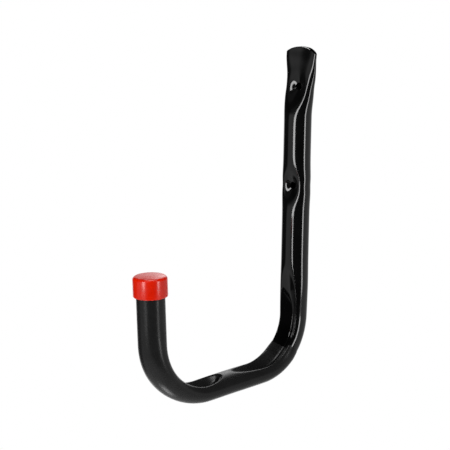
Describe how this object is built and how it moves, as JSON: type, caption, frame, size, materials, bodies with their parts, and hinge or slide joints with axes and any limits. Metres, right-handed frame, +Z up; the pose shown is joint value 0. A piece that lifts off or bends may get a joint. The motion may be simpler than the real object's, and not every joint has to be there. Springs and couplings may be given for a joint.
{
  "type": "garage utility hook",
  "caption": "Wall hook bent to a J from pressed steel tube: a flattened screw-on leg, a dented arm under a thin grip sleeve and a push-on cap on the upturned tip.",
  "frame": {"origin": "on the wall plane behind the leg, midway between the two screw holes", "axes": "+X across the hook, +Y into the wall, +Z up the leg; the arm reaches along -Y"},
  "size_m": [0.0294, 0.1801, 0.2581],
  "materials": {
    "black_paint": "gloss black enamel",
    "sleeve_vinyl": "satin black vinyl",
    "red_cap": "gloss red vinyl"
  },
  "bodies": {
    "root": {"hook_tube": "black_paint", "grip_sleeve": "sleeve_vinyl", "end_cap": "red_cap"}
  },
  "joints": []
}
